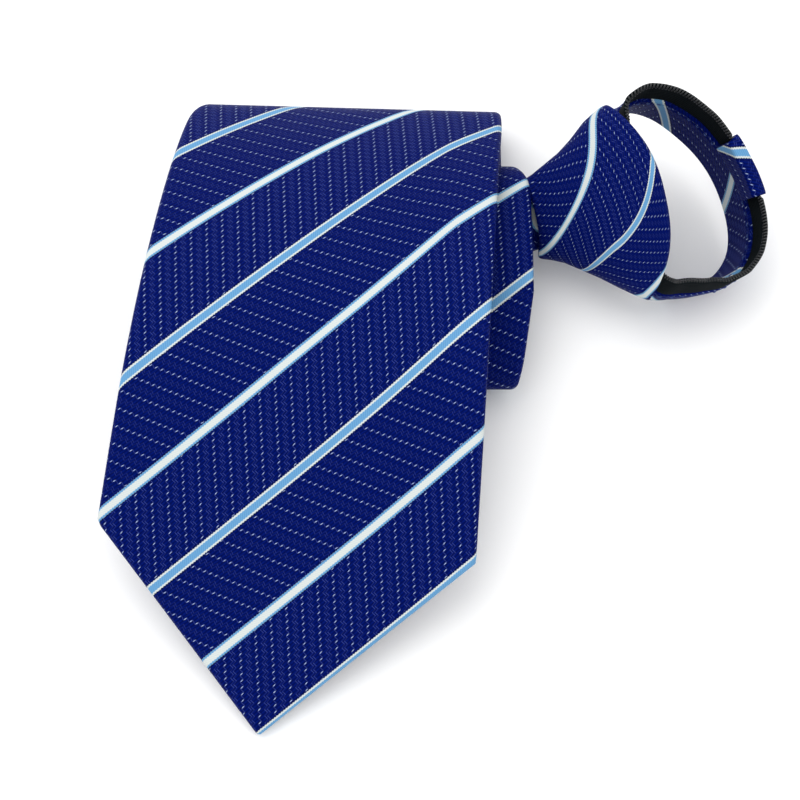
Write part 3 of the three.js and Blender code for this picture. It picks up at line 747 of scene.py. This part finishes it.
def knot_cloth(along, round_it, front_along, front_side, front_round):
    """The silk's place all over the knot, from the stripes' courses on its front."""
    terms, values = [], []
    for across, course in KNOT_STRIPES:
        for a, side in course:
            nearest = np.argmin((front_along - a) ** 2 + (front_side - side) ** 2)
            terms.append(powers(np.array(float(a)), np.array(front_round[nearest])))
            values.append(across)
    by_a, by_c = slopes(*np.meshgrid(FIELD_ALONG, FIELD_ROUND))
    bends = [np.diff(by, axis=k).reshape(-1, len(FIELD_TERMS)) for by in (by_a, by_c) for k in (0, 1)]
    by_a, by_c = [by.reshape(-1, len(FIELD_TERMS)) for by in (by_a, by_c)]
    smooth = np.vstack(bends) * FIELD_STIFFNESS
    asked = np.concatenate([values, np.zeros(len(smooth))])
    field = np.linalg.lstsq(np.vstack([np.array(terms), smooth]), asked, rcond=None)[0]
    slope_a, slope_c = by_a @ field, by_c @ field
    turned = np.concatenate([slope_c, -slope_a])
    partner = np.linalg.lstsq(np.vstack([by_a, by_c]), turned, rcond=None)[0]
    held = np.clip(round_it, -WRAP_HALF, WRAP_HALF)
    _, steps_c = slopes(along, held)
    across = powers(along, held) @ field + (round_it - held) * (steps_c @ field)
    far = powers(along, held) @ partner + (round_it - held) * (steps_c @ partner)
    return np.stack([far, across], -1)


def make_knot():
    """The knot's wall: up inside, out over both ends, and cut out where the loop passes."""
    columns = np.linspace(-math.pi / 2, 1.5 * math.pi, KNOT_COLUMNS + 1)
    rim = np.linspace(0, math.pi, RIM_STEPS)[1:-1]
    half = KNOT_WALL / 2
    wall = [(s, KNOT_WALL, 0.0) for s in np.linspace(LINING_LOW, WALL_FROM, LINING_STEPS)]
    wall += [(WALL_FROM, half * (1 + math.cos(a)), -RIM_BEND * math.sin(a)) for a in rim]
    first = len(wall)
    wall += [(s, 0.0, 0.0) for s in np.linspace(WALL_FROM, WALL_TO, WALL_STEPS)]
    last = len(wall)
    wall += [(WALL_TO, half * (1 - math.cos(a)), RIM_BEND * math.sin(a)) for a in rim]
    wall += [(s, KNOT_WALL, 0.0) for s in np.linspace(WALL_TO, LINING_HIGH, LINING_STEPS)]
    rings = np.stack([knot_points(columns, *place) for place in wall])
    middle = KNOT_COLUMNS // 2
    arcs = np.stack([travelled(ring)[middle] - travelled(ring) for ring in rings])
    laid = rings[:, :, 0].copy()
    for k in range(KNOT_COLUMNS + 1):
        gone = travelled(rings[:, k])
        laid[:first, k] = laid[first, k] - (gone[first] - gone[:first])
        laid[last:, k] = laid[last - 1, k] + gone[last:] - gone[last - 1]
    front = slice(KNOT_COLUMNS // 4, 3 * KNOT_COLUMNS // 4 + 1)
    shown = [values[first:last, front].ravel() for values in (rings[:, :, 0], rings[:, :, 1], arcs)]
    marks = knot_cloth(laid, arcs, *shown)
    knot = skin("wrapped_knot", from_knot(rings[:, :-1]), marks, silk, closed=True)
    cutter = room_for_band()
    cut = knot.modifiers.new("room", "BOOLEAN")
    cut.object = cutter
    cut.solver = "EXACT"
    bpy.context.view_layer.update()
    shaped = bpy.data.meshes.new_from_object(knot.evaluated_get(bpy.context.evaluated_depsgraph_get()))
    knot.modifiers.clear()
    knot.data = shaped
    shaped.set_sharp_from_angle(angle=SHARP_ANGLE)
    bpy.data.objects.remove(cutter)
    return knot


# The neck loop

class Loop:
    """The closed line that the band, the tape and the teeth follow."""

    samples = 6000

    def __init__(self):
        rows = np.array(LOOP_ROWS, float)
        self.line, place = smooth_line(rows[:, :2] * [LOOP_DEPTH, LOOP_WIDTH], self.samples, closed=True)
        self.share = travelled(self.line)
        self.length = self.share[-1]
        self.share = self.share / self.length
        here = place.astype(int) % len(rows)
        there = (here + 1) % len(rows)
        eased = place % 1
        eased = (eased**2 * (3 - 2 * eased))[:, None]
        self.lean = rows[here, 2:] * (1 - eased) + rows[there, 2:] * eased
        ends = np.vstack([self.line[-2:-1], self.line, self.line[1:2]])
        self.way = unit(ends[2:] - ends[:-2])

    def along(self, share, values):
        return np.stack([np.interp(share % 1, self.share, column) for column in values.T], -1)

    def points(self, share, up, out):
        """Points of the whole tie: a share of the way round, up the band's width, out from its middle."""
        share, up, out = np.broadcast_arrays(*(np.asarray(v, float) for v in (share, up, out)))
        base = np.zeros(share.shape + (3,))
        base[..., :2] = self.along(share, self.line)
        base[..., 2] = -LOOP_TOTAL
        way = np.zeros_like(base)
        way[..., :2] = unit(self.along(share, self.way))
        flare, bulge = np.moveaxis(self.along(share, self.lean), -1, 0)
        rise = np.zeros_like(base)
        rise[..., 0] = -way[..., 1] * flare * LOOP_FLARE
        rise[..., 1] = way[..., 0] * flare * LOOP_FLARE
        rise[..., 2] = LOOP_TOTAL
        rise = unit(rise)
        face = -np.cross(way, rise)
        level = up / LOOP_TOTAL
        bowed = out + bulge * LOOP_BULGE * 4 * level * (1 - level)
        return from_loop(base + rise * up[..., None] + face * bowed[..., None])


loop = Loop()
BAND_STEPS = 260


def silk_round(section):
    """How far round its outline each of a section's points is, from its first, with the first again."""
    return travelled(np.vstack([section, section[:1]]))


def loop_marks(shares, section):
    """For each ring and each point of the section, how far along the loop it is and how far round."""
    return np.meshgrid(shares * loop.length, silk_round(section), indexing="ij")


def loop_piece(name, section, bias):
    """A strip right round the neck loop with one cross section, given as (up, out)."""
    shares = np.linspace(0, 1, BAND_STEPS + 1)
    rings = loop.points(shares[:, None], section[None, :, 0], section[None, :, 1])
    marks = bias(*loop_marks(shares, section))
    return skin(name, rings[:-1], marks, silk, closed=True)


ROOM_ROUND = 0.8


def room_for_band():
    """What the loop takes out of the knot's wall: the band and the slider with their clearance."""
    thick = SLIDER_THICKNESS + 2 * CLEARANCE
    section = soft_section(LOOP_TOTAL + 2 * CLEARANCE, thick, ROOM_ROUND) - [CLEARANCE, 0]
    return loop_piece("room", section, lambda far, round_it: np.stack([far, round_it], -1))


BAND_ROUND = 0.75
BAND_ROUND_STEPS = 5
BAND_ACROSS_STEPS = 36
BAND_TILT = math.radians(57)
BAND_OFFSET = 25.4
HEM_INSET = 1.15
HEM_HALF = 0.22
HEM_DEPTH = 0.28


def band_bias(far, round_it):
    """The band is cut across the stripes too: the silk runs up its inner face and round its lower hem."""
    side = round_it - BAND_WIDTH
    along = far * math.cos(BAND_TILT) + side * math.sin(BAND_TILT)
    across = side * math.cos(BAND_TILT) - far * math.sin(BAND_TILT) + BAND_OFFSET
    return np.stack([along, across], -1)


def make_band():
    """The band, with a groove where its upper hem is sewn."""
    section = soft_section(BAND_WIDTH, BAND_THICKNESS, BAND_ROUND, BAND_ROUND_STEPS, BAND_ACROSS_STEPS)
    from_hem = (section[:, 0] - BAND_WIDTH + HEM_INSET) / HEM_HALF
    section[:, 1] *= 1 - HEM_DEPTH * np.exp(-(from_hem**2))
    return loop_piece("neck_band_silk", section, band_bias)


TAPE_CLOTH = 0.7  # the woven tape is thinner than the zipper's coil
TAPE_ROUND = 0.3
TAPE_ROUND_STEPS = 3
TAPE_ACROSS_STEPS = 8
TAPE_STEPS = 160
TAPE_OUTWARD = 0.15
TAPE_UNDER_BAND = 0.25  # how far it reaches over the clearance to the band
TAPE_SHORT = 0.35  # how far it ends below the coil's crown
TAPE_SHOWN = TEETH_START + TEETH_WIDTH - TAPE_SHORT - TAPE_START + TAPE_UNDER_BAND
TUCK_PAST = 1.0  # the tape is drawn in this far past the keeper's ends
TUCK_REACH = 1.5


def make_tape(name, start, end):
    """Half of the tape. It runs on under the coil, but is drawn in inside the keeper."""
    section = soft_section(TAPE_SHOWN, TAPE_CLOTH, TAPE_ROUND, TAPE_ROUND_STEPS, TAPE_ACROSS_STEPS)
    shares = np.linspace(start, end, TAPE_STEPS)
    inside = (KEEPER_LENGTH / 2 + TUCK_PAST) / loop.length - np.abs(shares - KEEPER_PLACE)
    tucked = np.clip(inside * loop.length / TUCK_REACH, 0, 1) * (TAPE_SHOWN - TAPE_WIDTH)
    drawn = 1 - tucked / TAPE_SHOWN
    up = TAPE_START - TAPE_UNDER_BAND + section[None, :, 0] * drawn[:, None]
    rings = loop.points(shares[:, None], up, section[None, :, 1] + TAPE_OUTWARD)
    far, _ = loop_marks(shares, section)
    around = np.hstack([up, up[:, :1]])
    return skin(name, rings, np.stack([far, around], -1), tape_black)


OFF_THE_LINE = [0.3, 0.1, 0.7]  # any direction that the line of a tube never takes
TUBE_SIDES = 6


def tube(centres, radius):
    """Rings round a line of points."""
    way = unit(np.gradient(centres, axis=0))
    first = unit(np.cross(way, np.roll(way, 1, axis=1) + OFF_THE_LINE))
    for i in range(1, len(first)):
        held = first[i - 1] - way[i] * (first[i - 1] @ way[i])
        first[i] = held / np.linalg.norm(held)
    second = np.cross(way, first)
    angles = np.linspace(0, 2 * math.pi, TUBE_SIDES, endpoint=False)[None, :, None]
    return centres[:, None] + radius * (np.cos(angles) * first[:, None] + np.sin(angles) * second[:, None])


WIRE = 0.2
COIL_WIDTH = 1.25
COIL_THICKNESS = 1.1
COIL_INWARD = 0.15
COIL_FLATNESS = 0.6
TURN_POINTS = 16


def make_teeth(name, start, end):
    """One half of the coil: a nylon wire wound round the tape's edge, a tooth for each turn."""
    turns = round(loop.length * abs(end - start) / TOOTH_PITCH)
    phase = np.linspace(0, 2 * math.pi * turns, turns * TURN_POINTS + 1)
    shares = start + (end - start) * phase / phase[-1]
    head = np.cos(phase)
    reach = (COIL_WIDTH / 2 - WIRE) * np.sign(head) * np.abs(head) ** COIL_FLATNESS
    up = LOOP_TOTAL - COIL_WIDTH / 2 + reach
    out = (COIL_THICKNESS / 2 - WIRE) * np.sin(phase) - COIL_INWARD
    rings = tube(loop.points(shares, up, out), WIRE)
    return skin(name, rings, None, teeth_black)


STITCH_PITCH = 2.4
STITCH_LENGTH = 0.9
STITCH_RADIUS = 0.15
STITCH_INSET = 1.15
STITCH_SUNK = 0.04
STITCH_LIFT = 0.14
STITCH_END = 0.35  # its thickness at an end, as a share
STITCH_STEPS = 7


def make_stitches():
    """The stitches on both faces of the band, each a bowed thread that thins towards its ends."""
    points, faces, marks, start = [], [], [], 0
    count = int(loop.length / STITCH_PITCH)
    step = STITCH_LENGTH / loop.length
    t = np.linspace(0, 1, STITCH_STEPS)
    bow = np.sin(t * math.pi)
    up = np.full(STITCH_STEPS, BAND_WIDTH - STITCH_INSET)
    for share, side in [((i + 0.5) / count, side) for i in range(count) for side in (-1, 1)]:
        out = side * (BAND_THICKNESS / 2 - STITCH_SUNK + STITCH_LIFT * bow)
        line = loop.points(share + step * t, up, out)
        rings = tube(line, STITCH_RADIUS)
        thinned = STITCH_END + (1 - STITCH_END) * bow[:, None, None]
        rings = line[:, None] + (rings - line[:, None]) * thinned
        ring, column, inward = skinned(rings - rings.reshape(-1, 3).mean(0), False)
        faces += [list(f) for f in start + ring * TUBE_SIDES + column % TUBE_SIDES]
        last = (STITCH_STEPS - 1) * TUBE_SIDES
        ends = [list(range(TUBE_SIDES)), list(range(last, last + TUBE_SIDES))]
        ends[0 if not inward else 1].reverse()
        faces += [[start + k for k in end] for end in ends]
        place = np.meshgrid(travelled(line), np.linspace(0, 1, TUBE_SIDES + 1), indexing="ij")
        marks.append(np.stack(place, -1)[ring, column].reshape(-1, 2))
        marks.append(np.zeros((2 * TUBE_SIDES, 2)))
        points.append(rings.reshape(-1, 3))
        start += STITCH_STEPS * TUBE_SIDES
    return make_piece("band_edge_stitches", np.vstack(points), faces, np.vstack(marks), thread_blue)


KEEPER_ROUND = 0.85
KEEPER_HEM = 0.25  # the lower edge's corners are cut back by this much up the band
KEEPER_HEM_OUT = 0.3  # and by this much across the wall
KEEPER_INNER_CUT = 0.25
KEEPER_WALL_FROM = 1.0
KEEPER_OUTER_TO = 1.5
KEEPER_INNER_TO = 0.6
KEEPER_ENDS = np.array([0, 0.01, 0.03, 0.06])  # the rings near an end, as shares of its length
KEEPER_SQUEEZE = 0.05  # the ends draw in by this share
KEEPER_MIDDLE = np.linspace(0.1, 0.9, 15)


def keeper_section():
    """The keeper's outline as (up, out): the outer wall over the crown, the hem, and the inner wall."""
    inner = TAPE_THICKNESS / 2 + CLEARANCE
    outer = inner + KEEPER_WALL
    top = TAPE_START + TAPE_WIDTH + CLEARANCE
    crown = top + KEEPER_WALL
    low = TAPE_START + KEEPER_HEM
    wall = TAPE_START + KEEPER_WALL_FROM
    outside = [(low, -outer)] + [(x, -outer) for x in np.linspace(wall, crown - KEEPER_OUTER_TO, 6)]
    for a in np.linspace(0, math.pi / 2, 6):
        outside.append((crown + KEEPER_ROUND * (math.sin(a) - 1), KEEPER_ROUND * (1 - math.cos(a)) - outer))
    outside += [(crown, 0.0)]
    outside += [(x, -y) for x, y in outside[-2::-1]]
    inside = [(low, inner)] + [(x, inner) for x in np.linspace(wall, top - KEEPER_INNER_TO, 5)]
    inside += [(top, inner - KEEPER_INNER_CUT), (top, KEEPER_INNER_CUT - inner)]
    inside += [(x, -y) for x, y in inside[-3::-1]]
    hem = [(TAPE_START, outer - KEEPER_HEM_OUT), (TAPE_START, inner + KEEPER_HEM_OUT)]
    hem_back = [(x, -y) for x, y in hem[::-1]]
    return np.array(outside + hem + inside + hem_back), (TAPE_START + crown) / 2


def make_keeper():
    """The sleeve of silk folded over the tape, a rounded U in section."""
    section, middle_up = keeper_section()
    half = KEEPER_LENGTH / loop.length / 2
    spread = np.concatenate([KEEPER_ENDS, KEEPER_MIDDLE, 1 - KEEPER_ENDS[::-1]])
    shares = KEEPER_PLACE - half + 2 * half * spread
    rings = loop.points(shares[:, None], section[None, :, 0], section[None, :, 1])
    middle = loop.points(shares, middle_up, 0.0)
    from_end = np.minimum(np.minimum(spread, 1 - spread) / KEEPER_ENDS[-1], 1)
    soft = np.sqrt(np.clip(1 - (1 - from_end) ** 2, 0, 1))
    squeeze = 1 - KEEPER_SQUEEZE * (1 - soft)
    rings = middle[:, None] + (rings - middle[:, None]) * squeeze[:, None, None]
    marks = keeper_bias(*loop_marks(shares, section))
    return skin("zipper_keeper", rings, marks, silk)


KEEPER_TILT = math.radians(62)
KEEPER_OFFSET = 0.15


def keeper_bias(far, round_it):
    """The keeper's silk is cut on the slant, with a light-blue stripe over its first end."""
    side = far - far.min()
    along = side * math.cos(KEEPER_TILT) + round_it * math.sin(KEEPER_TILT)
    across = round_it * math.cos(KEEPER_TILT) - side * math.sin(KEEPER_TILT) + KEEPER_OFFSET
    return np.stack([along, across], -1)


# The pieces


roll_rings, roll_marks, roll_length, roll_ends = blade_rings()
more_rings, more_marks = tail_rings(roll_length, roll_ends)
blade = skin("folded_blade", np.array(roll_rings + more_rings), np.array(roll_marks + more_marks), silk)
knot = make_knot()
band = make_band()
keeper = make_keeper()
stitches = make_stitches()
slider_share = (SLIDER_LENGTH / 2 + CLEARANCE) / loop.length
back_gap = CLEARANCE / 2 / loop.length
keeper_share = (KEEPER_LENGTH / 2 + CLEARANCE) / loop.length
HALVES = {
    "right": (slider_share, KEEPER_PLACE - back_gap, KEEPER_PLACE - keeper_share),
    "left": (1 - slider_share, KEEPER_PLACE + back_gap, KEEPER_PLACE + keeper_share),
}
pieces = [(blade, "blade", "silk"), (knot, "knot", "silk"), (band, "neck_band", "silk"),
          (keeper, "keeper", "silk")]
for side, (slider, back, teeth_end) in HALVES.items():
    tape = make_tape(f"zipper_tape_half_{side}", slider, back)
    coil = make_teeth(f"zipper_coil_{side}", slider, teeth_end)
    pieces.append((tape, f"zipper_tape_{side}", "zipper_tape"))
    pieces.append((coil, f"zipper_teeth_{side}", "zipper_teeth"))
for piece, node, slot in pieces:
    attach(piece, "root")
    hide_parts(node)
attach(stitches, "root")

# The blade's size laid out flat, and the slider's finish

TAIL_LENGTH = 60.0
blade_flat = (BLADE_WIDTH * MM, (roll_length + TAIL_LENGTH) * MM)

slider_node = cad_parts["zipper_slider"]
slider_node.data.materials.clear()
slider_node.data.materials.append(slider_black)

# The floor, the light and the camera

FLOOR_SIZE = 6.0
WORLD_STRENGTH = 1.22
WINDOW_PLACE = (-0.5, 0.45, 1.3)
WINDOW_SIZE = 1.6
WINDOW_POWER = 9
WINDOW_AIM = (0, 0, 0.01)
SENSOR_WIDTH = 36
LENS = 129.06
CAMERA_PLACE = (-0.00882, -0.23288, 0.58557)
CAMERA_TILT = math.radians(22)
NEAREST_SHOWN = 0.01
bpy.ops.mesh.primitive_plane_add(size=FLOOR_SIZE, location=(0, 0, 0))
floor = bpy.context.object
floor.name = "floor"
floor.data.materials.append(paper_finish())

world = bpy.data.worlds.new("studio")
bpy.context.scene.world = world
world.use_nodes = True
background = world.node_tree.nodes["Background"]
background.inputs["Color"].default_value = (1, 1, 1, 1)
background.inputs["Strength"].default_value = WORLD_STRENGTH

lamp = bpy.data.lights.new("window_light", "AREA")
lamp.shape = "DISK"
lamp.size = WINDOW_SIZE
lamp.energy = WINDOW_POWER
light = bpy.data.objects.new("window_light", lamp)
light.location = WINDOW_PLACE
away = np.array(WINDOW_AIM) - np.array(WINDOW_PLACE)
lean = math.atan2(math.hypot(away[0], away[1]), -away[2])
light.rotation_euler = (lean, 0, math.atan2(away[1], away[0]) - math.pi / 2)
bpy.context.scene.collection.objects.link(light)

camera_data = bpy.data.cameras.new("camera")
camera_data.sensor_width = SENSOR_WIDTH
camera_data.lens = LENS
camera_data.clip_start = NEAREST_SHOWN
camera = bpy.data.objects.new("camera", camera_data)
camera.location = CAMERA_PLACE
camera.rotation_euler = (CAMERA_TILT, 0, 0)
bpy.context.scene.collection.objects.link(camera)
bpy.context.scene.camera = camera
bpy.context.scene.view_settings.view_transform = "Standard"
